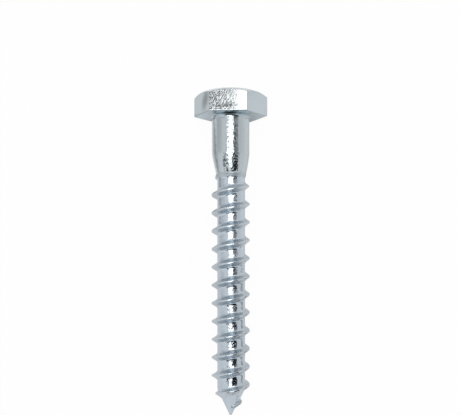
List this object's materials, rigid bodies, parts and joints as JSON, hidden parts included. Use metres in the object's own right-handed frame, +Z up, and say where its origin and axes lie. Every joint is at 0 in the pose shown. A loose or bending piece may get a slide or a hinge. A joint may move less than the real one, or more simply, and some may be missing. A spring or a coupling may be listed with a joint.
{
  "type": "coach screw",
  "caption": "Hexagon-head coach screw with a plain shank, a coarse right-hand wood thread and a cone point.",
  "frame": {"origin": "centre of the bearing face under the head, on the screw's axis", "axes": "The screw lies as it rests, on one flat of the head and one crest of the thread: +X runs along it from the head to the tip, its axis dips 2.75 degrees below +X, +Y is across two corners of the head and +Z is up."},
  "size_m": [0.0865, 0.0196, 0.0173],
  "materials": {
    "zinc_plated_steel": "bright zinc plating on forged and rolled steel"
  },
  "bodies": {
    "root": {"coach_screw": "zinc_plated_steel"}
  },
  "joints": []
}
